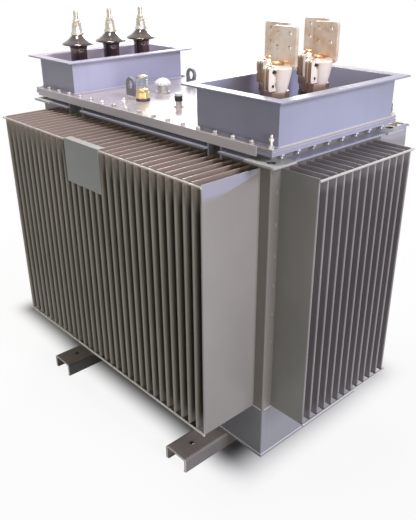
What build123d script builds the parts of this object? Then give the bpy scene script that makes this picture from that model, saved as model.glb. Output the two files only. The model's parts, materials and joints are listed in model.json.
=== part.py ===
"""Oil-filled power transformer with a corrugated tank, in millimetres.

The frame: +X points to the low-voltage end, -Y to the nameplate side, +Z up.
The origin lies on the floor under the middle of the tank.
"""
import os

from build123d import *

os.makedirs("parts", exist_ok=True)

# Skids
skid_gauge = 1040.0
skid_length = 1276.0
skid_width = 146.0
skid_height = 75.0
skid_web = 9.0
skid_flange = 10.0
skid_corner = 14.0
skid_root = 8.0
skid_hole_gauge = 1070.0
skid_hole = 26.0

# Tank
tank_length = 1620.0
tank_width = 720.0
tank_corner = 6.0
floor_plate = 10.0
floor_lip = 5.0
fin_rim_gap = 67.0

# Fins
fin_pitch = 50.0
fin_bottom = 342.0
fin_height = 1124.0
fin_thickness = 11.0
fin_weld_edge = 4.0
fin_nose_bevel = 3.5
fin_pinch = 65.0
long_fin_count = 31
long_fin_depth = 300.0
end_fin_count = 13
end_fin_depth = 185.0

# Tie rods
rod_diameter = 10.0
rod_overhang = 4.0
rod_inset = 7.0
seat_gap = 0.2

# Rim, flange and cover
ledge_drop = 28.0
ledge_plate = 8.0
ledge_reach = 57.0
rib_reach = 36.0
rib_thickness = 8.0
rib_clearance = 4.0
lv_pocket = (496.0, 578.0)
hv_pocket = (-562.0, -430.0)
tank_flange = 14.0
cover_gasket = 4.0
gasket_inset = 4.0
cover_plate = 10.0
cover_lv_overhang = 36.0
cover_hv_overhang = 74.0
cover_side_overhang = 39.0

# Corner plates
corner_plate_drop = 26.0
corner_plate_thickness = 10.0
corner_plate_reach_x = 70.0
corner_plate_reach_y = 64.0
corner_plate_length = 154.0
corner_plate_width = 127.0
corner_plate_round = 12.0
corner_plate_hole = 34.0
corner_plate_hole_inset_x = 51.0
corner_plate_hole_inset_y = 42.0

# Edge strips of the cover
strip_height = 39.0
strip_thickness = 4.0
strip_hv_setback = 24.0
strip_lv_setback = 75.0

# Terminal boxes
box_wall = 5.0
box_flange = 45.0
box_flange_plate = 8.0
hv_box_length = 324.0
hv_box_margin = 43.0
hv_box_height = 162.0
lv_box_length = 447.0
lv_box_margin = 37.0
lv_box_height = 175.0
lv_box_setback = 3.0

# HV bushings
hv_spacing = 208.0
hv_setback = 156.0
hv_body_diameter = 88.0
hv_foot_diameter = 118.0
hv_foot_height = 22.0
hv_shed_diameter = 166.0
hv_shed_lip = 8.0
hv_shed_bevel = 3.0
hv_shed_rim_height = 216.0
hv_shed_rise = 48.0
hv_neck_diameter = 56.0
hv_cap_diameter = 64.0
hv_cap_rim = 10.0
hv_cap_top_diameter = 50.0
hv_cap_height = 44.0
hv_nut_diameter = 45.0
hv_nut_height = 16.0
hv_stud_diameter = 24.0
hv_stud_length = 60.0
hv_stud_bevel = 4.0

# LV bushings, nuts and clamps
lv_group_offset = (-18.5, -6.5)
lv_row_spacing = 136.0
lv_pair_spacing = 248.0
lv_stagger = 111.0
lv_body_diameter = 92.0
lv_body_height = 104.0
lv_shed_diameter = 118.0
lv_shed_height = 16.0
lv_shed_place = 54.0
lv_washer_diameter = 84.0
lv_washer_height = 22.0
lv_nut_size = 85.0
lv_nut_height = 34.0
lv_nut_turn = 48.0
clamp_height = 98.0
clamp_low_diameter = 78.0
clamp_high_diameter = 114.0
clamp_shoulder = 13.0
clamp_ear_reach = 74.0
clamp_ear_width = 33.0
clamp_ear_height = 90.0
clamp_ear_round = 14.0
clamp_slot = 9.0
clamp_slot_offset = 6.0
clamp_bolt_hole = 13.0
clamp_bolt_spacing = 52.0
clamp_bolt_setback = 25.0
flag_width = 124.0
flag_height = 135.0
flag_thickness = 15.0
flag_setback = 33.0
flag_sink = 20.0
flag_corner = 13.0
flag_root = 12.0
flag_hole = 17.0
flag_hole_spacing_x = 60.0
flag_hole_spacing_z = 51.0
flag_hole_top = 26.0

# Fittings on the cover
lug_place = -308.0
lug_middle = 18.0
lug_spacing = 398.0
lug_width = 70.0
lug_height = 95.0
lug_thickness = 13.0
lug_hole = 40.0
gauge_place = (-184.0, -202.0)
gauge_foot_diameter = 66.0
gauge_foot_height = 12.0
gauge_body_low = 72.0
gauge_body_high = 58.0
gauge_body_height = 44.0
gauge_glass_diameter = 50.0
gauge_glass_wall = 3.0
gauge_glass_height = 52.0
gauge_cap_diameter = 56.0
gauge_cap_height = 16.0
filler_place = (-264.0, -14.0)
filler_neck_diameter = 56.0
filler_neck_height = 42.0
filler_flange_diameter = 70.0
filler_flange_height = 9.0
filler_cap_diameter = 82.0
filler_cap_rim = 10.0
filler_cap_height = 34.0
filler_crown_diameter = 52.0
filler_crown_rise = 8.0
relief_place = (52.0, -172.0)
relief_neck_diameter = 30.0
relief_neck_height = 28.0
relief_hex_size = 40.0
relief_hex_height = 8.0
relief_cap_diameter = 38.0
relief_cap_height = 38.0
relief_cap_bevel = 4.0

# Nameplate bracket
plate_middle = -19.0
plate_width = 272.0
plate_drop = 200.0
plate_thickness = 3.0
plate_lip = 34.0
plate_corner = 5.0

# Levels and places that follow from the sizes above
skid_top = skid_height
tank_bottom = skid_top + floor_plate
fin_top = fin_bottom + fin_height
rim_top = fin_top + fin_rim_gap
ledge_top = rim_top - ledge_drop
corner_plate_top = rim_top - corner_plate_drop
tank_end = tank_length / 2
tank_side = tank_width / 2
long_fin_nose = tank_side + long_fin_depth
end_fin_nose = tank_end + end_fin_depth
flange_top = rim_top + tank_flange
gasket_top = flange_top + cover_gasket
cover_top = gasket_top + cover_plate
cover_lv_end = tank_end + cover_lv_overhang
cover_hv_end = -tank_end - cover_hv_overhang
cover_side = tank_side + cover_side_overhang
cover_length = cover_lv_end - cover_hv_end
cover_middle = (cover_lv_end + cover_hv_end) / 2
hv_row = cover_hv_end + hv_setback


def save(piece, node):
    """Label a finished piece and write it as one STEP file."""
    piece.part.label = node
    export_step(piece.part, f"parts/{node}.step")


def row(count, pitch):
    """Places of a centred row with an even pitch."""
    return [(index - (count - 1) / 2) * pitch for index in range(count)]


# Skids: channels lying web up across the tank, drilled near both ends
with BuildSketch(Plane.XZ) as skid_hollow:
    Rectangle(skid_width - 2 * skid_flange, skid_height - skid_web, align=(Align.CENTER, Align.MIN))
    fillet(skid_hollow.vertices().group_by(Axis.Z)[-1], skid_root)

with BuildPart() as skid:
    with BuildSketch(Plane.XZ) as channel:
        Rectangle(skid_width, skid_height, align=(Align.CENTER, Align.MIN))
        fillet(channel.vertices().group_by(Axis.Y)[-1], skid_corner)
        add(skid_hollow.sketch_local, mode=Mode.SUBTRACT)
    extrude(amount=skid_length / 2, both=True)
    with Locations((0, skid_hole_gauge / 2, skid_top), (0, -skid_hole_gauge / 2, skid_top)):
        Hole(skid_hole / 2, skid_height)

for node, skid_x in (("skid_lv_end", skid_gauge / 2), ("skid_hv_end", -skid_gauge / 2)):
    with BuildPart() as placed_skid:
        with Locations((skid_x, 0, 0)):
            add(skid.part)
    save(placed_skid, node)

# Tank: a floor plate with a small lip, and the closed body up to its rim
with BuildPart() as tank_floor_plate:
    with BuildSketch(Plane.XY.offset(skid_top)):
        Rectangle(tank_length + 2 * floor_lip, tank_width + 2 * floor_lip)
    extrude(amount=floor_plate)
save(tank_floor_plate, "tank_floor_plate")

with BuildPart() as tank_body:
    with BuildSketch(Plane.XY.offset(tank_bottom)):
        RectangleRounded(tank_length, tank_width, tank_corner)
    extrude(amount=rim_top - tank_bottom)
save(tank_body, "tank_body")


def make_fin(depth):
    """One pressed fin: bevelled nose in plan, pinched to its welded edges at top and bottom."""
    half_body = fin_thickness / 2
    half_edge = fin_weld_edge / 2
    with BuildPart() as fin:
        with BuildSketch(Plane.XY.offset(fin_bottom)) as plan:
            Rectangle(fin_thickness, depth, align=(Align.CENTER, Align.MAX))
            chamfer(plan.vertices().group_by(Axis.Y)[0], fin_nose_bevel)
        extrude(amount=fin_height)
        with BuildSketch(Plane.XZ):
            with BuildLine():
                Polyline(
                    (0, fin_bottom),
                    (half_edge, fin_bottom),
                    (half_body, fin_bottom + fin_pinch),
                    (half_body, fin_top - fin_pinch),
                    (half_edge, fin_top),
                    (0, fin_top),
                    close=True,
                )
            make_face()
            mirror(about=Plane.YZ)
        extrude(amount=depth, mode=Mode.INTERSECT)
    return fin.part


# Fin packs: two long walls and two end walls
long_fin = make_fin(long_fin_depth)
end_fin = make_fin(end_fin_depth)

with BuildPart() as front_fins:
    with Locations(*[(x, -tank_side, 0) for x in row(long_fin_count, fin_pitch)]):
        add(long_fin)
save(front_fins, "front_fins")

with BuildPart() as rear_fins:
    mirror(front_fins.part, about=Plane.XZ)
save(rear_fins, "rear_fins")

with BuildPart() as lv_end_fins:
    with Locations(*[Location((tank_end, y, 0), (0, 0, 90)) for y in row(end_fin_count, fin_pitch)]):
        add(end_fin)
save(lv_end_fins, "lv_end_fins")

with BuildPart() as hv_end_fins:
    mirror(lv_end_fins.part, about=Plane.YZ)
save(hv_end_fins, "hv_end_fins")

# Tie rods: one along the top and one along the bottom of each pack's noses
rod_radius = rod_diameter / 2
rod_levels = (fin_bottom + rod_inset, fin_top - rod_inset)
rod_offset = rod_radius + seat_gap
long_rod_length = (long_fin_count - 1) * fin_pitch + fin_thickness + 2 * rod_overhang
end_rod_length = (end_fin_count - 1) * fin_pitch + fin_thickness + 2 * rod_overhang

with BuildPart() as tie_rods:
    with BuildSketch(Plane.YZ):
        with Locations(*[(side * (long_fin_nose + rod_offset), level) for side in (-1, 1) for level in rod_levels]):
            Circle(rod_radius)
    extrude(amount=long_rod_length / 2, both=True)
    with BuildSketch(Plane.XZ):
        with Locations(*[(side * (end_fin_nose + rod_offset), level) for side in (-1, 1) for level in rod_levels]):
            Circle(rod_radius)
    extrude(amount=end_rod_length / 2, both=True)
save(tie_rods, "tie_rods")

# Corner plates: notched round the tank corners, each with a lifting hole
plate_corner_x = tank_end + corner_plate_reach_x
plate_corner_y = tank_side + corner_plate_reach_y
with BuildPart() as corner_plate:
    with BuildSketch(Plane.XY.offset(corner_plate_top - corner_plate_thickness)) as outline:
        with Locations((plate_corner_x, plate_corner_y)):
            Rectangle(corner_plate_length, corner_plate_width, align=(Align.MAX, Align.MAX))
        fillet(outline.vertices().sort_by_distance((plate_corner_x, plate_corner_y))[0], corner_plate_round)
        RectangleRounded(tank_length, tank_width, tank_corner, mode=Mode.SUBTRACT)
        with Locations((plate_corner_x - corner_plate_hole_inset_x, plate_corner_y - corner_plate_hole_inset_y)):
            Circle(corner_plate_hole / 2, mode=Mode.SUBTRACT)
    extrude(amount=corner_plate_thickness)
save(corner_plate, "corner_plate_rear_lv")

with BuildPart() as corner_plate_rear_hv:
    mirror(corner_plate.part, about=Plane.YZ)
save(corner_plate_rear_hv, "corner_plate_rear_hv")

with BuildPart() as corner_plate_front_lv:
    mirror(corner_plate.part, about=Plane.XZ)
save(corner_plate_front_lv, "corner_plate_front_lv")

with BuildPart() as corner_plate_front_hv:
    mirror(corner_plate_rear_hv.part, about=Plane.XZ)
save(corner_plate_front_hv, "corner_plate_front_hv")

# Ledges: flat strips round the rim between the corner plates, open at the lifting pockets
ledge_half_x = plate_corner_x - corner_plate_length
ledge_half_y = plate_corner_y - corner_plate_width
with BuildPart() as side_ledges:
    with BuildSketch(Plane.XY.offset(ledge_top)):
        with Locations((0, tank_side)):
            Rectangle(2 * ledge_half_x, ledge_reach, align=(Align.CENTER, Align.MIN))
        for pocket in (lv_pocket, hv_pocket):
            with Locations((pocket[0], tank_side)):
                Rectangle(pocket[1] - pocket[0], ledge_reach, align=Align.MIN, mode=Mode.SUBTRACT)
    extrude(amount=-ledge_plate)
    mirror(about=Plane.XZ)
save(side_ledges, "side_ledges")

with BuildPart() as end_ledges:
    with BuildSketch(Plane.XY.offset(ledge_top)):
        with Locations((tank_end, 0)):
            Rectangle(ledge_reach, 2 * ledge_half_y, align=(Align.MIN, Align.CENTER))
    extrude(amount=-ledge_plate)
    mirror(about=Plane.YZ)
save(end_ledges, "end_ledges")

# Ribs: upright plates at both sides of each lifting pocket
with BuildPart() as rim_ribs:
    with BuildSketch(Plane.XY.offset(rim_top)):
        for pocket in (lv_pocket, hv_pocket):
            with Locations((pocket[0], tank_side)):
                Rectangle(rib_thickness, rib_reach, align=Align.MIN)
            with Locations((pocket[1], tank_side)):
                Rectangle(rib_thickness, rib_reach, align=(Align.MAX, Align.MIN))
    extrude(amount=fin_top + rib_clearance - rim_top)
    mirror(about=Plane.XZ)
save(rim_ribs, "rim_ribs")

# Flange on the rim, gasket and cover plate, one over the other
with BuildPart() as tank_flange_ring:
    with BuildSketch(Plane.XY.offset(rim_top)):
        with Locations((cover_middle, 0)):
            Rectangle(cover_length, 2 * cover_side)
    extrude(amount=tank_flange)
save(tank_flange_ring, "tank_flange")

with BuildPart() as gasket:
    with BuildSketch(Plane.XY.offset(flange_top)):
        with Locations((cover_middle, 0)):
            Rectangle(cover_length - 2 * gasket_inset, 2 * (cover_side - gasket_inset))
    extrude(amount=cover_gasket)
save(gasket, "cover_gasket")

with BuildPart() as cover:
    with BuildSketch(Plane.XY.offset(gasket_top)):
        with Locations((cover_middle, 0)):
            Rectangle(cover_length, 2 * cover_side)
    extrude(amount=cover_plate)
save(cover, "cover")

# Edge strips: flat bars welded along the long edges of the cover
strip_start = cover_hv_end + strip_hv_setback
strip_end = cover_lv_end - strip_lv_setback
with BuildPart() as cover_strips:
    with BuildSketch(Plane.XY.offset(cover_top)):
        with Locations((strip_start, -cover_side)):
            Rectangle(strip_end - strip_start, strip_thickness, align=(Align.MIN, Align.MAX))
    extrude(amount=-strip_height)
    mirror(about=Plane.XZ)
save(cover_strips, "cover_strips")


def make_box(middle, length, width, height):
    """An open-topped terminal box: sheet walls on the cover and a flange turned outward at the top."""
    with BuildPart() as box:
        with BuildSketch(Plane.XY.offset(cover_top)):
            with Locations((middle, 0)):
                Rectangle(length, width)
                Rectangle(length - 2 * box_wall, width - 2 * box_wall, mode=Mode.SUBTRACT)
        extrude(amount=height)
        with BuildSketch(Plane.XY.offset(cover_top + height)):
            with Locations((middle, 0)):
                Rectangle(length + 2 * box_flange, width + 2 * box_flange)
                Rectangle(length - 2 * box_wall, width - 2 * box_wall, mode=Mode.SUBTRACT)
        extrude(amount=-box_flange_plate)
    return box


# Terminal boxes: the HV box is flush with the cover's end, the LV box nearly so
hv_box_middle = cover_hv_end + hv_box_length / 2
lv_box_middle = cover_lv_end - lv_box_setback - lv_box_length / 2
hv_box_width = 2 * (cover_side - hv_box_margin)
lv_box_width = 2 * (cover_side - lv_box_margin)
save(make_box(hv_box_middle, hv_box_length, hv_box_width, hv_box_height), "hv_box")
save(make_box(lv_box_middle, lv_box_length, lv_box_width, lv_box_height), "lv_box")

# HV bushings: a glazed body with a foot and one wide umbrella shed, turned about its axis
hv_shed_top = hv_shed_rim_height + hv_shed_rise
hv_shed_radius = hv_shed_diameter / 2
with BuildPart() as hv_bushing:
    with BuildSketch(Plane.XZ):
        with BuildLine():
            Polyline(
                (0, hv_shed_top),
                (0, 0),
                (hv_foot_diameter / 2, 0),
                (hv_foot_diameter / 2, hv_foot_height),
                (hv_body_diameter / 2, hv_foot_height),
                (hv_body_diameter / 2, hv_shed_rim_height),
                (hv_shed_radius - hv_shed_bevel, hv_shed_rim_height),
                (hv_shed_radius, hv_shed_rim_height + hv_shed_bevel),
                (hv_shed_radius, hv_shed_rim_height + hv_shed_lip),
                (hv_neck_diameter / 2, hv_shed_top),
                close=True,
            )
        make_face()
    revolve(axis=Axis.Z)

# HV terminals: a tapered metal cap, its round nut and the upright stud
hv_cap_top = hv_shed_top + hv_cap_height
hv_nut_top = hv_cap_top + hv_nut_height
hv_stud_top = hv_nut_top + hv_stud_length
hv_stud_radius = hv_stud_diameter / 2
with BuildPart() as hv_terminal:
    with BuildSketch(Plane.XZ):
        with BuildLine():
            Polyline(
                (0, hv_stud_top),
                (0, hv_shed_top),
                (hv_cap_diameter / 2, hv_shed_top),
                (hv_cap_diameter / 2, hv_shed_top + hv_cap_rim),
                (hv_cap_top_diameter / 2, hv_cap_top),
                (hv_nut_diameter / 2, hv_cap_top),
                (hv_nut_diameter / 2, hv_nut_top),
                (hv_stud_radius, hv_nut_top),
                (hv_stud_radius, hv_stud_top - hv_stud_bevel),
                (hv_stud_radius - hv_stud_bevel, hv_stud_top),
                close=True,
            )
        make_face()
    revolve(axis=Axis.Z)

for index, place in enumerate(row(3, hv_spacing), start=1):
    with BuildPart() as placed_bushing:
        with Locations((hv_row, place, cover_top)):
            add(hv_bushing.part)
    save(placed_bushing, f"hv_bushing_{index}")
    with BuildPart() as placed_terminal:
        with Locations((hv_row, place, cover_top)):
            add(hv_terminal.part)
    save(placed_terminal, f"hv_terminal_{index}")

# LV bushings: a porcelain body with one shed, under a metal washer
lv_washer_top = lv_body_height + lv_washer_height
with BuildPart() as lv_bushing:
    with BuildSketch():
        Circle(lv_body_diameter / 2)
    extrude(amount=lv_body_height)
    with BuildSketch(Plane.XY.offset(lv_shed_place)):
        Circle(lv_shed_diameter / 2)
    extrude(amount=lv_shed_height)
    with BuildSketch(Plane.XY.offset(lv_body_height)):
        Circle(lv_washer_diameter / 2)
    extrude(amount=lv_washer_height)

# LV nuts: large hexagons that clamp the studs
with BuildPart() as lv_nut:
    with BuildSketch(Plane.XY.offset(lv_washer_top)):
        RegularPolygon(lv_nut_size / 2, 6, major_radius=False, rotation=lv_nut_turn)
    extrude(amount=lv_nut_height)

# LV clamps: a flaring split barrel on the stud, two ears drilled for pinch bolts and an upright drilled flag
clamp_bottom = lv_washer_top + lv_nut_height
clamp_top = clamp_bottom + clamp_height
clamp_high_radius = clamp_high_diameter / 2
clamp_middle = clamp_bottom + clamp_height / 2
flag_top = clamp_top + flag_height
with BuildPart() as lv_clamp:
    with BuildSketch(Plane.YZ.offset(clamp_slot_offset)) as ears:
        with Locations((0, clamp_middle)):
            Rectangle(clamp_ear_reach, clamp_ear_height, align=(Align.MAX, Align.CENTER))
        fillet(ears.vertices().group_by(Axis.X)[0], clamp_ear_round)
    extrude(amount=clamp_ear_width / 2, both=True)
    with BuildSketch(Plane.XZ):
        with BuildLine():
            Polyline(
                (0, clamp_top),
                (0, clamp_bottom),
                (clamp_low_diameter / 2, clamp_bottom),
                (clamp_high_radius, clamp_top - clamp_shoulder),
                (clamp_high_radius - clamp_shoulder, clamp_top),
                close=True,
            )
        make_face()
    revolve(axis=Axis.Z)
    with BuildSketch(Plane.YZ.offset(clamp_slot_offset)):
        with Locations((0, clamp_middle)):
            Rectangle(clamp_ear_reach, clamp_height, align=(Align.MAX, Align.CENTER))
    extrude(amount=clamp_slot / 2, both=True, mode=Mode.SUBTRACT)
    with BuildSketch(Plane.YZ):
        with Locations((clamp_bolt_setback - clamp_ear_reach, clamp_middle)):
            with GridLocations(clamp_bolt_spacing, clamp_bolt_spacing, 1, 2):
                Circle(clamp_bolt_hole / 2)
    extrude(amount=clamp_ear_width, both=True, mode=Mode.SUBTRACT)
    with BuildSketch(Plane.XZ.offset(-flag_setback)) as flag:
        with Locations((0, clamp_top - flag_sink)):
            Rectangle(flag_width, flag_height + flag_sink, align=(Align.CENTER, Align.MIN))
        fillet(flag.vertices().group_by(Axis.Y)[-1], flag_corner)
        chamfer(flag.vertices().group_by(Axis.Y)[0], flag_root)
        with Locations((0, flag_top - flag_hole_top - flag_hole_spacing_z / 2)):
            with GridLocations(flag_hole_spacing_x, flag_hole_spacing_z, 2, 2):
                Circle(flag_hole / 2, mode=Mode.SUBTRACT)
    extrude(amount=flag_thickness / 2, both=True)

lv_half_stagger = lv_stagger / 2
lv_places = []
for row_x, shift in ((lv_row_spacing / 2, -lv_half_stagger), (-lv_row_spacing / 2, lv_half_stagger)):
    for pair_y in row(2, lv_pair_spacing):
        lv_x = lv_box_middle + lv_group_offset[0] + row_x
        lv_y = lv_group_offset[1] + pair_y + shift
        lv_places.append((lv_x, lv_y, cover_top))

for index, place in enumerate(lv_places, start=1):
    for name, piece in (("lv_bushing", lv_bushing), ("lv_clamp", lv_clamp)):
        with BuildPart() as placed_piece:
            with Locations(place):
                add(piece.part)
        save(placed_piece, f"{name}_{index}")

with BuildPart() as lv_nuts:
    with Locations(*lv_places):
        add(lv_nut.part)
save(lv_nuts, "lv_nuts")

# Lifting lugs: drilled plates with a round head, standing on the cover
for node, side in (("lifting_lug_front", -1), ("lifting_lug_rear", 1)):
    with BuildPart() as lifting_lug:
        with BuildSketch(Plane.XZ.offset(-lug_middle - side * lug_spacing / 2)):
            with Locations((lug_place, cover_top)):
                Rectangle(lug_width, lug_height - lug_width / 2, align=(Align.CENTER, Align.MIN))
            with Locations((lug_place, cover_top + lug_height - lug_width / 2)):
                Circle(lug_width / 2)
                Circle(lug_hole / 2, mode=Mode.SUBTRACT)
        extrude(amount=lug_thickness / 2, both=True)
    save(lifting_lug, node)

# Oil gauge: a dark foot, a tapered brass body, a sight glass and a cap
gauge_body_top = gauge_foot_height + gauge_body_height
gauge_glass_top = gauge_body_top + gauge_glass_height
gauge_plane = Plane((gauge_place[0], gauge_place[1], cover_top))
gauge_section = Plane(gauge_plane.origin, x_dir=(1, 0, 0), z_dir=(0, -1, 0))
with BuildPart() as oil_gauge_body:
    with BuildSketch(gauge_section):
        with BuildLine():
            Polyline(
                (0, 0),
                (gauge_foot_diameter / 2, 0),
                (gauge_foot_diameter / 2, gauge_foot_height),
                (gauge_body_low / 2, gauge_foot_height),
                (gauge_body_high / 2, gauge_body_top),
                (0, gauge_body_top),
                close=True,
            )
        make_face()
    revolve(axis=Axis(gauge_plane.origin, (0, 0, 1)))
save(oil_gauge_body, "oil_gauge_body")

with BuildPart() as oil_gauge_glass:
    with BuildSketch(gauge_plane.offset(gauge_body_top)):
        Circle(gauge_glass_diameter / 2)
        Circle(gauge_glass_diameter / 2 - gauge_glass_wall, mode=Mode.SUBTRACT)
    extrude(amount=gauge_glass_height)
save(oil_gauge_glass, "oil_gauge_glass")

with BuildPart() as oil_gauge_cap:
    with BuildSketch(gauge_plane.offset(gauge_glass_top)):
        Circle(gauge_cap_diameter / 2)
    extrude(amount=gauge_cap_height)
save(oil_gauge_cap, "oil_gauge_cap")

# Filler: a flanged neck under a domed cap
filler_plane = Plane((filler_place[0], filler_place[1], cover_top))
with BuildPart() as filler_neck:
    with BuildSketch(filler_plane):
        Circle(filler_flange_diameter / 2)
    extrude(amount=filler_flange_height)
    with BuildSketch(filler_plane):
        Circle(filler_neck_diameter / 2)
    extrude(amount=filler_neck_height)
save(filler_neck, "filler_neck")

filler_section = Plane(filler_plane.origin, x_dir=(1, 0, 0), z_dir=(0, -1, 0))
with BuildPart() as filler_cap:
    with BuildSketch(filler_section):
        with BuildLine():
            Polyline(
                (0, filler_neck_height),
                (filler_cap_diameter / 2, filler_neck_height),
                (filler_cap_diameter / 2, filler_neck_height + filler_cap_rim),
                (filler_crown_diameter / 2, filler_neck_height + filler_cap_height - filler_crown_rise),
                (0, filler_neck_height + filler_cap_height),
                close=True,
            )
        make_face()
    revolve(axis=Axis(filler_plane.origin, (0, 0, 1)))
save(filler_cap, "filler_cap")

# Relief valve: a hexagon, a neck and a black cap
relief_plane = Plane((relief_place[0], relief_place[1], cover_top))
with BuildPart() as relief_valve:
    with BuildSketch(relief_plane):
        RegularPolygon(relief_hex_size / 2, 6, major_radius=False)
    extrude(amount=relief_hex_height)
    with BuildSketch(relief_plane):
        Circle(relief_neck_diameter / 2)
    extrude(amount=relief_neck_height)
save(relief_valve, "relief_valve")

with BuildPart() as relief_cap:
    with BuildSketch(relief_plane.offset(relief_neck_height)):
        Circle(relief_cap_diameter / 2)
    extrude(amount=relief_cap_height)
    chamfer(relief_cap.edges().group_by(Axis.Z)[-1], relief_cap_bevel)
save(relief_cap, "relief_cap")

# Nameplate bracket: a bare plate in front of the fins, its lip folded back over the top rod
plate_back = -long_fin_nose - rod_offset - rod_radius - seat_gap
plate_top = fin_top + seat_gap + plate_thickness
with BuildPart() as nameplate_bracket:
    with BuildSketch(Plane.YZ.offset(plate_middle)):
        with BuildLine():
            Polyline(
                (plate_back, plate_top - plate_drop),
                (plate_back - plate_thickness, plate_top - plate_drop),
                (plate_back - plate_thickness, plate_top),
                (plate_back + plate_lip, plate_top),
                (plate_back + plate_lip, plate_top - plate_thickness),
                (plate_back, plate_top - plate_thickness),
                close=True,
            )
        make_face()
    extrude(amount=plate_width / 2, both=True)
    fillet(nameplate_bracket.edges().filter_by(Axis.Y).group_by(Axis.Z)[0], plate_corner)
save(nameplate_bracket, "nameplate_bracket")
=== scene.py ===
# %% [markdown]
# An oil-filled power transformer stands on two channel skids. Its tank has corrugated walls,
# and its bolted cover carries an open box with three bushings for the high voltage
# and another with four clamps for the low voltage.
# The solids come from the CAD frame, at their real places, in metres:
# X runs towards the low-voltage end, Y to the rear, away from the nameplate, and Z up.
# This lesson dresses them: it lights the scene, paints the solids
# and adds the bolts, welds and turned pieces that the solids leave plain.

# %% Load the frame
import json
import math

import bmesh
import bpy
from mathutils import Matrix, Vector


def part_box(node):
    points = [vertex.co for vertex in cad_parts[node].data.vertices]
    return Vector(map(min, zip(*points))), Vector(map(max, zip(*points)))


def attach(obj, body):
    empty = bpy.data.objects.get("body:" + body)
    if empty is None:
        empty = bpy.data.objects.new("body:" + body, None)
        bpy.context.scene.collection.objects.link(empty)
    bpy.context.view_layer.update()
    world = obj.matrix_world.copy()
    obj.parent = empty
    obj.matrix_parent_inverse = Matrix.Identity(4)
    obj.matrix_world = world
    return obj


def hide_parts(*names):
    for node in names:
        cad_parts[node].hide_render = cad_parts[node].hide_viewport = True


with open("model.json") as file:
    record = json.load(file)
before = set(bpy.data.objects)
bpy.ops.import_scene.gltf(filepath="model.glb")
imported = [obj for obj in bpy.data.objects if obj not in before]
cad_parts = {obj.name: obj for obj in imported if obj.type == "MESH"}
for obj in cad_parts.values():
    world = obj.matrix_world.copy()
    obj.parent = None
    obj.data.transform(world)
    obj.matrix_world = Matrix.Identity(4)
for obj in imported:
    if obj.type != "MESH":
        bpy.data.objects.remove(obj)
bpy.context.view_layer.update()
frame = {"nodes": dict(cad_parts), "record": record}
scene = bpy.context.scene
scene.view_settings.view_transform = "Standard"

# %% [markdown]
# The camera stands at the low-voltage end, a little above the cover, and looks down along a diagonal.
# A camera could be aimed with a Track To constraint, but three angles give the same view
# with nothing left to be solved: the heading, the tilt and a slight roll of the hand.
# The columns of its matrix are the directions to its right, up and backwards.

# %% Camera
EYE = Vector((2.326, -2.049, 2.186))
HEADING = math.radians(47.945)
TILT = math.radians(25.691)
ROLL = math.radians(-0.491)
SENSOR_WIDTH = 36
LENS = 43.485
right = Vector((math.cos(HEADING), math.sin(HEADING), 0))
back = Vector((math.sin(HEADING) * math.cos(TILT), -math.cos(HEADING) * math.cos(TILT), math.sin(TILT)))
up = back.cross(right)
rolled_right = right * math.cos(ROLL) + up * math.sin(ROLL)
rolled_up = up * math.cos(ROLL) - right * math.sin(ROLL)

camera_data = bpy.data.cameras.new("camera")
camera_data.sensor_width = SENSOR_WIDTH
camera_data.lens = LENS
camera = bpy.data.objects.new("camera", camera_data)
camera_turn = Matrix((rolled_right, rolled_up, back)).transposed().to_4x4()
camera.matrix_world = Matrix.Translation(EYE) @ camera_turn
scene.collection.objects.link(camera)
scene.camera = camera
print("camera", [round(value, 3) for value in EYE], "lens", LENS)

# %% [markdown]
# A finish is a small graph of nodes. Its sums could be wired one Math node at a time,
# but Python expressions keep a finish readable, so this class wraps a socket
# and turns + - * and powers into Math nodes. The reflected forms let a sum start with a plain number.

# %% Sums on sockets
class Signal:
    """An output socket that takes part in Python sums."""

    def __init__(self, graph, socket):
        self.graph = graph
        self.socket = socket

    def sum(self, operation, first, second):
        return self.graph.node("ShaderNodeMath", {"operation": operation}, {0: first, 1: second})

    def __add__(self, other):
        return self.sum("ADD", self, other)

    def __radd__(self, other):
        return self.sum("ADD", other, self)

    def __rsub__(self, other):
        return self.sum("SUBTRACT", other, self)

    def __mul__(self, other):
        return self.sum("MULTIPLY", self, other)

    def __rmul__(self, other):
        return self.sum("MULTIPLY", other, self)

    def __pow__(self, other):
        return self.sum("POWER", self, other)


print("sums ready")

# %% [markdown]
# The other class holds the graph of a material. Nodes could be placed by hand in the Shader Editor,
# but then they couldn't be read here. Every node comes from one method, which sets the node's options first
# and then fills or links its sockets. The methods below it are the few patterns that all finishes share.

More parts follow.
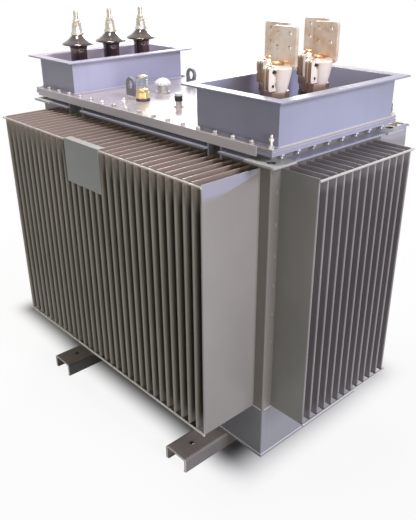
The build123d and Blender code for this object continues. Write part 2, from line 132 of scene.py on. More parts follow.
# %% Graphs of nodes
class Graph:
    """The nodes of a material or of the world."""

    def __init__(self, owner):
        owner.use_nodes = True
        self.tree = owner.node_tree
        self.tree.nodes.clear()

    def node(self, kind, settings=None, sockets=None, output=0):
        made = self.tree.nodes.new(kind)
        for key, value in (settings or {}).items():
            setattr(made, key, value)
        for key, value in (sockets or {}).items():
            if isinstance(value, Signal):
                self.tree.links.new(value.socket, made.inputs[key])
            else:
                made.inputs[key].default_value = value
        return Signal(self, made.outputs[output]) if made.outputs else None

    def noise(self, scale, detail=3.0, stretch=(1, 1, 1)):
        """Noise on the piece's own coordinates, stretched where it has to run along one axis."""
        point = self.node("ShaderNodeTexCoord", output="Object")
        place = self.node("ShaderNodeMapping", {}, {"Vector": point, "Scale": stretch})
        return self.node("ShaderNodeTexNoise", {}, {"Vector": place, "Scale": scale, "Detail": detail})

    def step(self, value, low, high):
        """A soft step: 0 below low, 1 above high."""
        settings = {"interpolation_type": "SMOOTHSTEP"}
        return self.node("ShaderNodeMapRange", settings, {"Value": value, "From Min": low, "From Max": high})

    def blend(self, share, first, second):
        """A colour between two others."""
        sockets = {0: share, 6: first, 7: second}
        return self.node("ShaderNodeMix", {"data_type": "RGBA"}, sockets, output=2)

    def along(self, axis):
        """How far the point lies from the origin along an axis, in metres."""
        point = self.node("ShaderNodeTexCoord", output="Object")
        return self.node("ShaderNodeSeparateXYZ", {}, {0: point}, output=axis)

    def facing(self, axis):
        """1 on a surface that looks straight along an axis, 0 on one that looks across it."""
        normal = self.node("ShaderNodeNewGeometry", output="Normal")
        return self.node("ShaderNodeSeparateXYZ", {}, {0: normal}, output=axis)

    def ray(self, kind):
        """1 for the light rays of one kind, 0 for all others."""
        return self.node("ShaderNodeLightPath", output=kind)

    def bump(self, height, distance, strength):
        return self.node("ShaderNodeBump", {}, {"Height": height, "Distance": distance, "Strength": strength})

    def surface(self, **sockets):
        """The Principled shader of a material, with its sockets named in small letters."""
        named = {}
        for key, value in sockets.items():
            named[key.replace("_", " ").title().replace("Ior", "IOR")] = value
        shader = self.node("ShaderNodeBsdfPrincipled", {}, named)
        self.node("ShaderNodeOutputMaterial", {}, {"Surface": shader})


def finish(name):
    """A new material and its empty graph."""
    material = bpy.data.materials.new(name)
    return material, Graph(material)


def colour(red, green, blue):
    return (red, green, blue, 1.0)


print("graphs ready")

# %% [markdown]
# A product picture shows the machine on white. One bright white world would wash out the paint,
# so the world is white to the eye and in reflections and only a dim grey for the light
# that falls on the paint. A Light Path node tells the two apart.

# %% White room
ROOM_LIGHT = 0.17
world = bpy.data.worlds.new("studio")
scene.world = world
studio = Graph(world)
looks = studio.ray("Is Camera Ray") + studio.ray("Is Glossy Ray") + studio.ray("Is Transmission Ray")
seen = studio.step(looks, 0.0, 1.0)
dim_grey = {"Color": colour(0.97, 0.98, 0.92), "Strength": ROOM_LIGHT}
white = {"Color": colour(1, 1, 1), "Strength": 1.0}
room_light = studio.node("ShaderNodeBackground", {}, dim_grey)
white_room = studio.node("ShaderNodeBackground", {}, white)
room = studio.node("ShaderNodeMixShader", {}, {0: seen, 1: room_light, 2: white_room})
studio.node("ShaderNodeOutputWorld", {}, {"Surface": room})
print("white room with light", ROOM_LIGHT)

# %% [markdown]
# The floor could be a shadow catcher, but a floor that partly glows for the eye keeps a soft shadow
# and needs no compositing. It is pale where it is looked at and dark grey for the light that bounces,
# so it throws no false light up under the tank. Under the tank and a little behind it
# the glow fades out, because no light gets there.

# %% Floor
FLOOR_REACH = 30.0
SHADE_HV_END = (1.28, 1.50)
SHADE_LV_END = (0.62, 0.92)
SHADE_FRONT = (0.39, 0.58)
SHADE_REAR = (0.65, 0.90)
FAR_SQUARED = (2.0, 9.0)
NEAR_GLOW = 0.90
floor_material, ground = finish("floor_white")
floor_seen = ground.ray("Is Camera Ray")
floor_glossy = ground.ray("Is Glossy Ray")
floor_x = ground.along("X")
floor_y = ground.along("Y")
past_hv_end = ground.step(-1 * floor_x, *SHADE_HV_END)
past_lv_end = ground.step(floor_x, *SHADE_LV_END)
past_front = ground.step(-1 * floor_y, *SHADE_FRONT)
past_rear = ground.step(floor_y, *SHADE_REAR)
beside = 1 - (1 - past_hv_end) * (1 - past_lv_end) * (1 - past_front) * (1 - past_rear)
floor_far = ground.step(floor_x * floor_x + floor_y * floor_y, *FAR_SQUARED)
floor_grey = ground.blend(ground.noise(1.5), colour(0.12, 0.12, 0.118), colour(0.15, 0.15, 0.147))
floor_tone = ground.blend(beside * floor_seen, floor_grey, colour(0.80, 0.80, 0.79))
floor_paint = ground.node("ShaderNodeBsdfDiffuse", {}, {"Color": floor_tone})
floor_glow = ground.node("ShaderNodeEmission", {}, white)
glow_share = beside * (floor_seen + floor_glossy) * (NEAR_GLOW + (1 - NEAR_GLOW) * floor_far)
floor_mix = ground.node("ShaderNodeMixShader", {}, {0: glow_share, 1: floor_paint, 2: floor_glow})
ground.node("ShaderNodeOutputMaterial", {}, {"Surface": floor_mix})

floor_shape = bmesh.new()
bmesh.ops.create_grid(floor_shape, x_segments=1, y_segments=1, size=FLOOR_REACH)
floor_mesh = bpy.data.meshes.new("floor")
floor_shape.to_mesh(floor_mesh)
floor_shape.free()
floor_mesh.materials.append(floor_material)
floor = bpy.data.objects.new("floor", floor_mesh)
scene.collection.objects.link(floor)
print("floor", 2 * FLOOR_REACH, "m wide")

# %% [markdown]
# The low-voltage end faces the bright side of the hall and the nameplate side lies in the shade.
# A sun lamp with a wide, soft disc makes that difference, and it lights the near and far box alike.
# One lamp overhead brightens the cover. A warm one, far off at the right, shines a finger's depth
# in between the fins, so each fades from its nose to the dark behind it.
# A window behind the machine gives the cover its long glossy streak.
# One round picture of a hall could light all this, but lamps can be set one at a time.

# %% Lamps
def hang_lamp(name, data, place, aim):
    """Put a lamp at a place and turn it to what it lights."""
    lamp = bpy.data.objects.new(name, data)
    lamp.location = place
    lamp.rotation_mode = "QUATERNION"
    lamp.rotation_quaternion = (Vector(aim) - Vector(place)).to_track_quat("-Z", "Y")
    scene.collection.objects.link(lamp)
    print("lamp", name, round(data.energy, 2))


def area_lamp(name, place, aim, size, power, tint):
    data = bpy.data.lights.new(name, "AREA")
    data.shape = "RECTANGLE"
    data.size, data.size_y = size
    data.energy = power
    data.color = tint
    hang_lamp(name, data, place, aim)


sun = bpy.data.lights.new("hall_side", "SUN")
sun.energy = 2.3
sun.angle = math.radians(22)
sun.color = (0.79, 0.80, 1.0)
hang_lamp("hall_side", sun, (0, 0, 0), (-0.89, -0.10, -0.44))
area_lamp("hall_front", (10.8, -4.8, 2.4), (0.2, -0.4, 0.9), (4.6, 4.0), power=505, tint=(1.0, 0.95, 0.88))
area_lamp("overhead", (-0.2, -0.7, 5.2), (-0.2, 0.0, 1.5), (1.5, 1.0), power=125, tint=(1.0, 0.94, 0.90))
area_lamp("window_behind", (-3.2, 3.3, 3.6), (0.0, -0.1, 1.56), (2.0, 1.3), power=150, tint=(1.0, 1.0, 1.0))

# %% [markdown]
# The tank, cover and boxes wear one satin grey paint with a breath of lavender.
# Sprayed paint is never one colour: it clouds slowly over a metre, carries faint runs down the walls
# and gathers dust on top. A painted picture could show this if every plate were unwrapped for it.
# Noise at three scales needs no unwrapping, and a very fine noise in a Bump node
# gives the orange-peel skin that breaks up reflections. Above a given height a paint can turn to a second
# colour:
# brown dust on the crests of the long fins, a lighter colour on the crests of the end fins,
# a painted shade on the tank wall above its base between the fins,
# and a painted reflection of the sky on the pinched crests of the outermost long fins.

# %% Painted steel
DUST_AND_LIGHT_BAND = 0.03


def painted(name, base, dust_and_light, rough, dusty=0.35, dust_and_light_from=None, shade=None):
    """Paint of a base colour with a share of dust on top; shade can change its tone from place to place, and
    above a height a second colour takes over: dust on fin crests, painted shade on the tank wall, painted
    reflection on the outermost crests.
    """
    material, graph = finish(name)
    clouds = graph.noise(1.7, 4.0)
    runs = graph.noise(9.0, 3.0, (3.0, 3.0, 0.22))
    specks = graph.noise(160.0, 2.0)
    skin = graph.noise(420.0, 2.0)
    darker = colour(*[value * 0.88 for value in base])
    lighter = colour(*[min(1.0, value * 1.07) for value in base])
    tone = graph.blend(graph.step(clouds, 0.30, 0.70), darker, lighter)
    tone = graph.blend(0.30 * graph.step(runs, 0.50, 0.78), tone, darker)
    settled = graph.step(graph.facing("Z"), 0.45, 0.95) * graph.step(clouds + 0.35 * specks, 0.35, 0.95)
    tone = graph.blend(dusty * settled, tone, colour(*dust_and_light))
    if shade:
        tone = shade(graph, tone)
    # Above this height the second colour takes over: dust on the fin crests, a painted shade on the tank wall
    # and a painted reflection of the sky on the outermost crests.
    if dust_and_light_from:
        level = graph.along("Z") + 0.02 * clouds
        tone = graph.blend(graph.step(level, dust_and_light_from, dust_and_light_from + DUST_AND_LIGHT_BAND), tone, colour(*dust_and_light))
    roughness = rough + 0.10 * clouds + 0.16 * settled
    normal = graph.bump(0.7 * skin + 0.3 * specks, 0.0006, 0.35)
    graph.surface(base_color=tone, roughness=roughness, normal=normal)
    return material


print("paint function ready")

# %% [markdown]
# Paint changes by its place. The ends of the skids are knocked pale, which is real wear; the rest is painted
# light and shade:
# the fins' sides are darker deep in the gaps, the front and rear edges of the rim ribs are lighter,
# the outer sides of the fin packs darken towards their feet, and the ledges are lighter under the cover.
# Faces with paints of their own would show hard borders, so each of these functions blends a paint
# towards another colour by a point's place or by the way the surface looks.
# A place or a direction is squared, so that one step serves the front and the rear alike.

# %% Shade and wear
FIN_DEEP = 0.640
FIN_SHOWS = 0.657
FIN_FADE = 1.325
FIN_TOP = 1.435
SIDE_FOOT = 0.30
SIDE_UNSHADED = 1.15
SKID_SOUND = 0.6345
SKID_END = 0.6375
LEDGE_DEEP = 0.385
LEDGE_OPEN = 0.415


def between_fins(graph, tone):
    """Painted shade deep between long fins, and near the top painted light on the pinched sides and painted
    shade on the noses.
    """
    gap_shade = colour(0.155, 0.143, 0.125)
    pinch_light = colour(0.46, 0.42, 0.375)
    nose_shade = colour(0.215, 0.20, 0.18)
    shows = graph.step(graph.along("Y") ** 2, FIN_DEEP ** 2, FIN_SHOWS ** 2)
    below = graph.blend(shows, gap_shade, tone)
    above = graph.blend(shows, pinch_light, nose_shade)
    return graph.blend(graph.step(graph.along("Z"), FIN_FADE, FIN_TOP), below, above)


def lit_rib_edges(graph, tone):
    """A painted highlight on the faces of plates that look to the front and the rear."""
    return graph.blend(graph.step(graph.facing("Y") ** 2, 0.5, 0.9), tone, colour(0.42, 0.40, 0.46))


def low_shade(graph, tone):
    """Darken a side towards its foot, a painted shade."""
    unshaded = graph.step(graph.along("Z"), SIDE_FOOT, SIDE_UNSHADED)
    return graph.blend(unshaded, colour(0.235, 0.217, 0.20), tone)


def worn_ends(graph, tone):
    """Bare the cut ends of a skid, where paint is knocked off first."""
    cut = graph.step(graph.along("Y") ** 2, SKID_SOUND ** 2, SKID_END ** 2)
    return graph.blend(cut, tone, colour(0.80, 0.74, 0.67))


def lit_under_cover(graph, tone):
    """A painted light on the part of a ledge that lies in shadow under the cover's edge."""
    beyond_cover = graph.step(graph.along("Y") ** 2, LEDGE_DEEP ** 2, LEDGE_OPEN ** 2)
    return graph.blend(beyond_cover, colour(0.66, 0.66, 0.78), tone)


print("shade and wear ready")

# %% [markdown]
# On the real machine it is one paint, but plates that lie flat or get handled have aged apart,
# and some paints here are lighter or darker copies that stand in for light and shade: painted light on the
# high-voltage box, its inner walls, the cover strips and the ledges under the cover, and painted shade on the
# rim ribs and the far skid.
# One material with many masks could hold that.
# A paint for each kind of plate, with its own base, dust and roughness, is easier to set one by one.

# %% Paints
TANK_BASE = 0.335
FIN_CREST = 1.432
END_FIN_CREST = FIN_CREST - 0.028
SIDE_CREST = FIN_CREST - 0.03

# The brown above the tank's base is a painted shade, standing for the shade between the fins.
tank_paint = painted("tank_paint", (0.235, 0.237, 0.262), (0.215, 0.198, 0.176), 0.28, dust_and_light_from=TANK_BASE)
box_paint = painted("box_paint", (0.365, 0.372, 0.495), (0.385, 0.36, 0.36), 0.24, dusty=0.9)
# The high-voltage box takes a lighter copy of the box paint, a painted light, and its inner walls a paler
# paint, another painted light.
hv_box_lit_paint = painted("hv_box_lit_paint", (0.42, 0.42, 0.535), (0.43, 0.39, 0.40), 0.24, dusty=0.6)
inner_light_paint = painted("inner_light_paint", (0.54, 0.505, 0.64), (0.50, 0.46, 0.52), 0.30)
cover_paint = painted("cover_paint", (0.42, 0.385, 0.42), (0.48, 0.41, 0.39), 0.14)
# The cover strips are much lighter than the cover: their paint and a painted reflection of the bright hall on
# their faces.
strip_paint_and_sheen = painted("strip_paint_and_sheen", (0.64, 0.61, 0.655), (0.58, 0.51, 0.48), 0.26)
corner_paint = painted("corner_paint", (0.50, 0.50, 0.48), (0.52, 0.51, 0.49), 0.28)
lug_paint = painted("lug_paint", (0.25, 0.245, 0.275), (0.36, 0.34, 0.36), 0.28)
# The rim ribs take a dark base, a painted shade for the cover's shadow, and painted highlights on their front
# and rear faces.
shaded_rib_paint = painted("shaded_rib_paint", (0.12, 0.125, 0.15), (0.14, 0.14, 0.16), 0.30, shade=lit_rib_edges)
# The ledges take a darker base than the boxes, a painted shade on their lit outer edge, and a painted light
# under the cover.
ledge_paint = painted("ledge_paint", (0.30, 0.30, 0.37), (0.28, 0.28, 0.33), 0.28, shade=lit_under_cover)
# The fin paint carries the painted shade and light between the fins, and dust on the crests.
fin_paint = painted("fin_paint", (0.335, 0.312, 0.275), (0.33, 0.245, 0.195), 0.32,
                    dust_and_light_from=FIN_CREST, shade=between_fins)
end_fin_paint = painted("end_fin_paint", (0.28, 0.26, 0.275), (0.41, 0.38, 0.41), 0.32,
                        dusty=0.6, dust_and_light_from=END_FIN_CREST)
# The outermost sides darken towards their feet, a painted shade.
side_paint = painted("side_paint", (0.335, 0.31, 0.285), (0.36, 0.34, 0.40), 0.28, shade=low_shade)
# The lavender that takes over on the pinched crests of the outermost long fins is a painted reflection of the
# sky.
crest_paint_and_sky = painted("crest_paint_and_sky", (0.335, 0.315, 0.31), (0.37, 0.36, 0.425), 0.26, dust_and_light_from=SIDE_CREST)
shade_paint = painted("shade_paint", (0.27, 0.268, 0.25), (0.34, 0.33, 0.30), 0.28)
rod_paint = painted("rod_paint", (0.57, 0.55, 0.50), (0.56, 0.52, 0.45), 0.30)
# The skids' tops carry dust, and their darker sides are partly a painted shade; the far skid takes a darker
# copy, a painted shade for the shadow it stands in.
skid_paint = painted("skid_paint", (0.15, 0.138, 0.128), (0.33, 0.27, 0.22), 0.45, 0.75, shade=worn_ends)
shaded_far_skid_paint = painted("shaded_far_skid_paint", (0.035, 0.032, 0.029), (0.37, 0.305, 0.25), 0.45, 0.75,
                         shade=worn_ends)
plate_paint = painted("plate_paint", (0.36, 0.38, 0.36), (0.50, 0.42, 0.37), 0.30, dusty=0.9)
weld_paint = painted("weld_paint", (0.60, 0.58, 0.60), (0.56, 0.52, 0.50), 0.30)
print("paints ready")

# %% [markdown]
# Bushings are glazed porcelain: a deep brown body under a clear glass skin.
# A glass shell round a dull body could show that, at the cost of a second mesh.
# A dark base with a low roughness and a coat gives the same depth, and a slow noise lets the glaze
# pool darker and lighter round the body as it does in the kiln. Flat-stretched noise in the bump
# leaves the faint rings of the potter's wheel, which break the highlights into sparks.

# %% Glazed porcelain
GLAZE = {"coat_weight": 1.0, "coat_roughness": 0.02, "coat_ior": 1.8, "specular_ior_level": 0.15}


def glazed_porcelain(name, deep, thin):
    material, graph = finish(name)
    pool = graph.noise(14.0, 3.0, (1, 1, 0.4))
    rings = graph.noise(110.0, 1.0, (0.6, 0.6, 1.6))
    tone = graph.blend(graph.step(pool, 0.35, 0.70), colour(*deep), colour(*thin))
    normal = graph.bump(0.4 * pool + 0.6 * rings, 0.0030, 0.5)
    graph.surface(base_color=tone, roughness=0.07 + 0.08 * pool, normal=normal, **GLAZE)
    return material


brown_porcelain = glazed_porcelain("brown_porcelain", (0.020, 0.010, 0.010), (0.075, 0.030, 0.022))
lv_porcelain = glazed_porcelain("lv_porcelain", (0.045, 0.022, 0.016), (0.110, 0.055, 0.035))
print("porcelain ready")

# %% [markdown]
# Terminals are brass under a thin tin plating, nuts are bare brass and bolts are galvanised steel.
# One function makes them all from two tints and a roughness:
# the tint drifts with handling, and the roughness follows fine brush marks.
# The clamps are cast below their rolled flags. A second material could start at that line,
# but the change is soft, so a shade function blends it: below the flag the faces towards the low-voltage end
# get a painted light, pale and less metallic, and the faces to the front and the rear a painted shade in
# brown.

# %% Bare and plated metal
CLAMP_TOP = 1.806
CAST_BAND = 0.012
LIT_FACE_METALLIC = 0.15


def cast_body(graph, tone, metallic):
    """The tint and metallic share of a clamp below its flag: painted light towards the low-voltage end,
    painted shade to the front and the rear.
    """
    rolled = graph.step(graph.along("Z"), CLAMP_TOP, CLAMP_TOP + CAST_BAND)
    lit_faces = (1 - rolled) * graph.step(graph.facing("X"), 0.2, 0.8)
    shaded_faces = (1 - rolled) * graph.step(graph.facing("Y") ** 2, 0.4, 0.9)
    tone = graph.blend(0.85 * lit_faces, tone, colour(0.97, 0.87, 0.77))
    tone = graph.blend(0.85 * shaded_faces, tone, colour(0.27, 0.165, 0.095))
    return tone, metallic + (LIT_FACE_METALLIC - metallic) * lit_faces


def bare_metal(name, bright, stained, rough, metallic=1.0, shade=None):
    material, graph = finish(name)
    stain = graph.noise(22.0, 4.0)
    marks = graph.noise(90.0, 2.0, (1.0, 1.0, 6.0))
    tone = graph.blend(graph.step(stain, 0.38, 0.72), colour(*bright), colour(*stained))
    if shade:
        tone, metallic = shade(graph, tone, metallic)
    roughness = rough + 0.14 * marks + 0.10 * stain
    normal = graph.bump(marks, 0.0005, 0.25)
    graph.surface(base_color=tone, roughness=roughness, metallic=metallic, normal=normal)
    return material


tinned_brass = bare_metal("tinned_brass", (0.73, 0.63, 0.54), (0.60, 0.44, 0.31), 0.26, 0.55, cast_body)
terminal_metal = bare_metal("terminal_metal", (0.60, 0.55, 0.47), (0.38, 0.33, 0.27), 0.22)
brass = bare_metal("brass", (0.52, 0.39, 0.30), (0.34, 0.23, 0.17), 0.28)
stud_brass = bare_metal("stud_brass", (0.62, 0.35, 0.18), (0.42, 0.22, 0.11), 0.32)
gauge_brass = bare_metal("gauge_brass", (0.90, 0.74, 0.42), (0.70, 0.50, 0.22), 0.16)
cap_brass = bare_metal("cap_brass", (0.46, 0.41, 0.35), (0.32, 0.27, 0.22), 0.26)
fitting_steel = bare_metal("fitting_steel", (0.62, 0.60, 0.56), (0.46, 0.43, 0.40), 0.30)
dark_steel_and_bore_shade = bare_metal("dark_steel_and_bore_shade", (0.10, 0.095, 0.09), (0.06, 0.055, 0.05), 0.40)
bolt_zinc = bare_metal("bolt_zinc", (0.84, 0.81, 0.76), (0.66, 0.61, 0.54), 0.28)
cover_zinc = bare_metal("cover_zinc", (0.70, 0.66, 0.64), (0.50, 0.46, 0.43), 0.34)
hung_zinc = bare_metal("hung_zinc", (0.66, 0.66, 0.72), (0.46, 0.45, 0.48), 0.32)
print("metals ready")

# %% [markdown]
# The small fittings need moulded plastic, rubber and glass. Flat colours could pass at their size,
# but they show when the camera comes near, so plastic takes a faint grain and scuffs,
# rubber is dark and dull, and the sight glass transmits light with the greenish tint of thick glass.

# %% Plastic, rubber and glass
def moulded(name, base, worn, rough):
    material, graph = finish(name)
    scuffs = graph.noise(60.0, 5.0)
    grain = graph.noise(500.0, 1.0)
    tone = graph.blend(graph.step(scuffs, 0.45, 0.75), colour(*base), colour(*worn))
    normal = graph.bump(grain, 0.0003, 0.3)
    graph.surface(base_color=tone, roughness=rough + 0.15 * scuffs, normal=normal)
    return material


white_plastic = moulded("white_plastic", (0.85, 0.84, 0.86), (0.74, 0.72, 0.72), 0.28)
black_plastic = moulded("black_plastic", (0.022, 0.022, 0.026), (0.050, 0.048, 0.050), 0.35)
gasket_rubber = moulded("gasket_rubber", (0.085, 0.062, 0.045), (0.13, 0.10, 0.07), 0.60)

GLASS_IOR = 1.45
sight_glass, glass_graph = finish("sight_glass")
glass_film = glass_graph.noise(35.0, 3.0)
glass_tone = glass_graph.blend(glass_film, colour(0.92, 0.95, 0.92), colour(0.84, 0.88, 0.82))
glass_rough = 0.03 + 0.05 * glass_film
glass_graph.surface(base_color=glass_tone, roughness=glass_rough, transmission_weight=1.0, ior=GLASS_IOR)
print("plastics, rubber and glass ready")

# %% [markdown]
# Every solid of the frame names a material slot in the record. A copy of each could be painted instead,
# but putting the finish into the solid's own slot dresses it without touching its mesh,
# so the solids stay as the CAD made them. A few plates of the rim take a paint of their own.

# %% Dress the solids
FINISHES = {
    "tank_paint": tank_paint, "fin_paint": fin_paint, "rod_steel": rod_paint, "skid_steel": skid_paint,
    "plate_metal": plate_paint, "brown_porcelain": brown_porcelain, "lv_porcelain": lv_porcelain,
    "tinned_brass": tinned_brass, "terminal_metal": terminal_metal, "brass": brass,
    "gauge_brass": gauge_brass, "fitting_steel": fitting_steel, "white_plastic": white_plastic,
    "black_plastic": black_plastic, "gasket_rubber": gasket_rubber, "glass": sight_glass,
}
RIM_PAINTS = {
    "tank_flange": box_paint, "end_ledges": box_paint, "side_ledges": ledge_paint, "rim_ribs": shaded_rib_paint,
    "cover_gasket": weld_paint,
}
for subpart in frame["record"]["subparts"]:
    node = subpart["node"]
    for material_slot in frame["nodes"][node].material_slots:
        material_slot.material = RIM_PAINTS.get(node, FINISHES[subpart["material_slot"]])

# %% [markdown]
# A shape becomes a piece when it has a mesh, a finish and a name, and rides on the transformer.
# Each piece could be dressed on its own, but one function does it for all, so no step is forgotten.
# A piece that is drawn in place of a solid is told which one, and the plain solid is then hidden.
# Weighted normals keep large faces flat beside their round edges.

# %% Finished pieces
SHARP = math.radians(35)


def make_piece(shape, name, material, slot, *stands_for, recalculate=True, others=()):
    """Turn a shape into a finished piece, and hide the solids it stands for."""
    if recalculate:
        bmesh.ops.recalc_face_normals(shape, faces=shape.faces)
    mesh = bpy.data.meshes.new(name)
    shape.to_mesh(mesh)
    shape.free()
    mesh.shade_smooth()
    mesh.set_sharp_from_angle(angle=SHARP)
    for coat in (material, *others):
        mesh.materials.append(coat)
    piece = bpy.data.objects.new(name, mesh)
    scene.collection.objects.link(piece)
    flat = piece.modifiers.new("flat_faces", "WEIGHTED_NORMAL")
    flat.keep_sharp = True
    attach(piece, "root")
    if stands_for:
        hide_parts(*stands_for)
    print(name, len(mesh.polygons), "faces")


print("piece function ready")

# %% [markdown]
# Each fin is folded from thin sheet: flat sides, a round nose, and top and bottom edges
# that are pinched together and welded. The pinch is long at the nose and short at the tank wall.
# A sheet could be folded up face by face, but a cube becomes a fin sooner: its two nose edges are bevelled
# to a round, it is cut across by two sloping planes, and the ends are scaled thin.

# %% One fin
FIN_THICKNESS = 0.011
FIN_EDGE = 0.0035
FIN_NOSE = 0.005
NOSE_PINCH = 0.085
WALL_PINCH = 0.014


def everything(shape):
    return shape.verts[:] + shape.edges[:] + shape.faces[:]


def one_fin(depth, bottom, top):
    """A fin that stands out towards the front from the middle of the frame."""
    shape = bmesh.new()
    bmesh.ops.create_cube(shape, size=1)
    bmesh.ops.scale(shape, vec=(FIN_THICKNESS, depth, top - bottom), verts=shape.verts)
    bmesh.ops.translate(shape, vec=(0, -depth / 2, (top + bottom) / 2), verts=shape.verts)
    nose = [edge for edge in shape.edges if max(vert.co.y for vert in edge.verts) < -depth / 2
            and abs(edge.verts[0].co.z - edge.verts[1].co.z) > NOSE_PINCH]
    rounding = {"segments": 3, "profile": 0.5, "affect": "EDGES", "material": -1}
    bmesh.ops.bevel(shape, geom=nose, offset=FIN_NOSE, **rounding)
    slope = (NOSE_PINCH - WALL_PINCH) / depth
    for level, tilt in ((bottom + WALL_PINCH, slope), (top - WALL_PINCH, -slope)):
        bmesh.ops.bisect_plane(shape, geom=everything(shape), plane_co=(0, 0, level), plane_no=(0, tilt, 1))
    pinched = [vert for vert in shape.verts if min(vert.co.z - bottom, top - vert.co.z) < WALL_PINCH / 2]
    bmesh.ops.scale(shape, vec=(FIN_EDGE / FIN_THICKNESS, 1, 1), verts=pinched)
    return shape


print("fin function ready")

# %% [markdown]
# The fins stand in four packs, one on each wall of the tank. An Array modifier could repeat a fin,
# but copies in the mesh let the whole pack stand for its solid as one piece.
# Each face takes its paint from its place and the way it looks: the sides in the pack and their
# pinched slopes share the fin paint, which holds dust near the crest and painted light and shade between the
# fins, the outermost sides and slopes have paints of their own, with a painted shade towards the foot
# and a painted reflection of the sky on the crest, and the welded edges at top and bottom are bright.

# %% Fin packs
FIN_PITCH = 0.050
SLOPING = 0.01
LEVEL = 0.9
EDGE_PAINT = 4


def repeat(shape, count, step):
    """Copy everything in the shape along a step until there are count of it."""
    first = everything(shape)
    for index in range(1, count):
        copied = bmesh.ops.duplicate(shape, geom=first)["geom"]
        corners = [item for item in copied if isinstance(item, bmesh.types.BMVert)]
        bmesh.ops.translate(shape, vec=Vector(step) * index, verts=corners)


def fin_pack(node, count, depth, wall, heading, paints):
    """Fins on a wall, with paints for sides, outermost sides, slopes, outermost slopes and edges."""
    low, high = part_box(node)
    shape = one_fin(depth, low[2], high[2])
    half_row = (count - 1) / 2 * FIN_PITCH
    bmesh.ops.translate(shape, vec=(-half_row, -wall, 0), verts=shape.verts)
    repeat(shape, count, (FIN_PITCH, 0, 0))
    shape.normal_update()
    for face in shape.faces:
        outermost = abs(face.calc_center_median().x) > half_row + FIN_THICKNESS / 4
        sloping = face.normal.z > SLOPING
        level = abs(face.normal.z) > LEVEL
        face.material_index = EDGE_PAINT if level else int(outermost) + 2 * int(sloping)
    turn = Matrix.Rotation(math.radians(heading), 3, "Z")
    bmesh.ops.rotate(shape, cent=(0, 0, 0), matrix=turn, verts=shape.verts)
    make_piece(shape, node + "_pressed", paints[0], "fin_paint", node, others=paints[1:])


long_paints = (fin_paint, side_paint, fin_paint, crest_paint_and_sky, rod_paint)
end_paints = (end_fin_paint, shade_paint, end_fin_paint, shade_paint, rod_paint)
long_side = {"count": 31, "depth": 0.300, "wall": 0.360, "paints": long_paints}
end_side = {"count": 13, "depth": 0.185, "wall": 0.810, "paints": end_paints}
fin_pack("front_fins", heading=0, **long_side)
fin_pack("rear_fins", heading=180, **long_side)
fin_pack("lv_end_fins", heading=90, **end_side)
fin_pack("hv_end_fins", heading=-90, **end_side)

# %% [markdown]
# The solids give every main shape, but their edges are knife-sharp, and a real plate always has
# a small round edge that catches the light. A Bevel modifier could round them.
# Bmesh's bevel on a merged copy also leaves faces that can be painted one by one:
# the walls of drilled holes can take a painted shade in dark steel, and the inner walls of a box a painted
# light.

# %% Rounded copies
BORE_REACH = 0.0185
UPRIGHT = 0.5


def foot_of(node):
    """The middle of a solid's underside."""
    low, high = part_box(node)
    return Vector(((low[0] + high[0]) / 2, (low[1] + high[1]) / 2, low[2]))


def soften(shape, width, segments=2):
    """Round every outer edge at which two faces meet sharply."""
    outer = [edge for edge in shape.edges if edge.is_manifold and edge.is_convex]
    sharp = [edge for edge in outer if edge.calc_face_angle() > SHARP]
    rounding = {"segments": segments, "profile": 0.5, "affect": "EDGES", "material": -1}
    bmesh.ops.bevel(shape, geom=sharp, offset=width, clamp_overlap=True, **rounding)


def rounded_copy(node, width, material, slot="tank_paint", bores=(), lit_inside=None):
    """A copy of a solid with round edges, with a painted shade in its bores and, if given, a painted light on
    its inner walls.
    """
    shape = bmesh.new()
    shape.from_mesh(frame["nodes"][node].data)
    bmesh.ops.remove_doubles(shape, verts=shape.verts, dist=1e-5)
    bmesh.ops.dissolve_limit(shape, angle_limit=math.radians(1), verts=shape.verts, edges=shape.edges)
    soften(shape, width)
    shape.normal_update()
    middle = foot_of(node).xy
    # Upright faces in a bore get a painted shade in dark steel; a box's inner walls get the painted light,
    # where one is given.
    for face in shape.faces:
        upright = abs(face.normal.z) < UPRIGHT
        spot = face.calc_center_median().xy
        shaded_bore = any((spot - bore).length < BORE_REACH for bore in bores)
        lit_inner = lit_inside is not None and (spot - middle).dot(face.normal.xy) < 0
        face.material_index = int(upright and (shaded_bore or lit_inner))
    inner = (lit_inside or dark_steel_and_bore_shade,)
    make_piece(shape, node + "_rounded", material, slot, node, recalculate=False, others=inner)


print("rounding functions ready")

# %% [markdown]
# The terminal boxes, skids, lugs and plates keep their solids' shapes and only need round edges.
# They could be modelled again from cubes, but a rounded copy can't miss its place.
# Thick plates get wider rounds than thin ones. The high-voltage box gets a lighter copy of the box paint and
# a paler paint on its inner walls, both painted light.

# %% Plates and boxes
BOX_EDGE = 0.0024
CHANNEL_EDGE = 0.002
PLATE_EDGE = 0.0015
STRIP_EDGE = 0.0012
SHEET_EDGE = 0.001
CORNER_HOLE = Vector((0.829, 0.382))
SKID_HOLE = Vector((0.520, 0.535))
ENDS = {"lv": 1, "hv": -1}
SIDES = {"front": -1, "rear": 1}
SKID_PAINTS = {"lv": skid_paint, "hv": shaded_far_skid_paint}
LUGS = ("lifting_lug_front", "lifting_lug_rear")
rounded_copy("hv_box", BOX_EDGE, hv_box_lit_paint, lit_inside=inner_light_paint)
rounded_copy("lv_box", BOX_EDGE, box_paint)
for node in LUGS:
    rounded_copy(node, PLATE_EDGE, lug_paint)
for end, x in ENDS.items():
    for side, y in SIDES.items():
        hole = CORNER_HOLE * Vector((x, y))
        rounded_copy(f"corner_plate_{side}_{end}", PLATE_EDGE, corner_paint, bores=[hole])
for end, x in ENDS.items():
    holes = [SKID_HOLE * Vector((x, y)) for y in SIDES.values()]
    rounded_copy(f"skid_{end}_end", CHANNEL_EDGE, SKID_PAINTS[end], "skid_steel", bores=holes)
rounded_copy("cover", CHANNEL_EDGE, cover_paint)
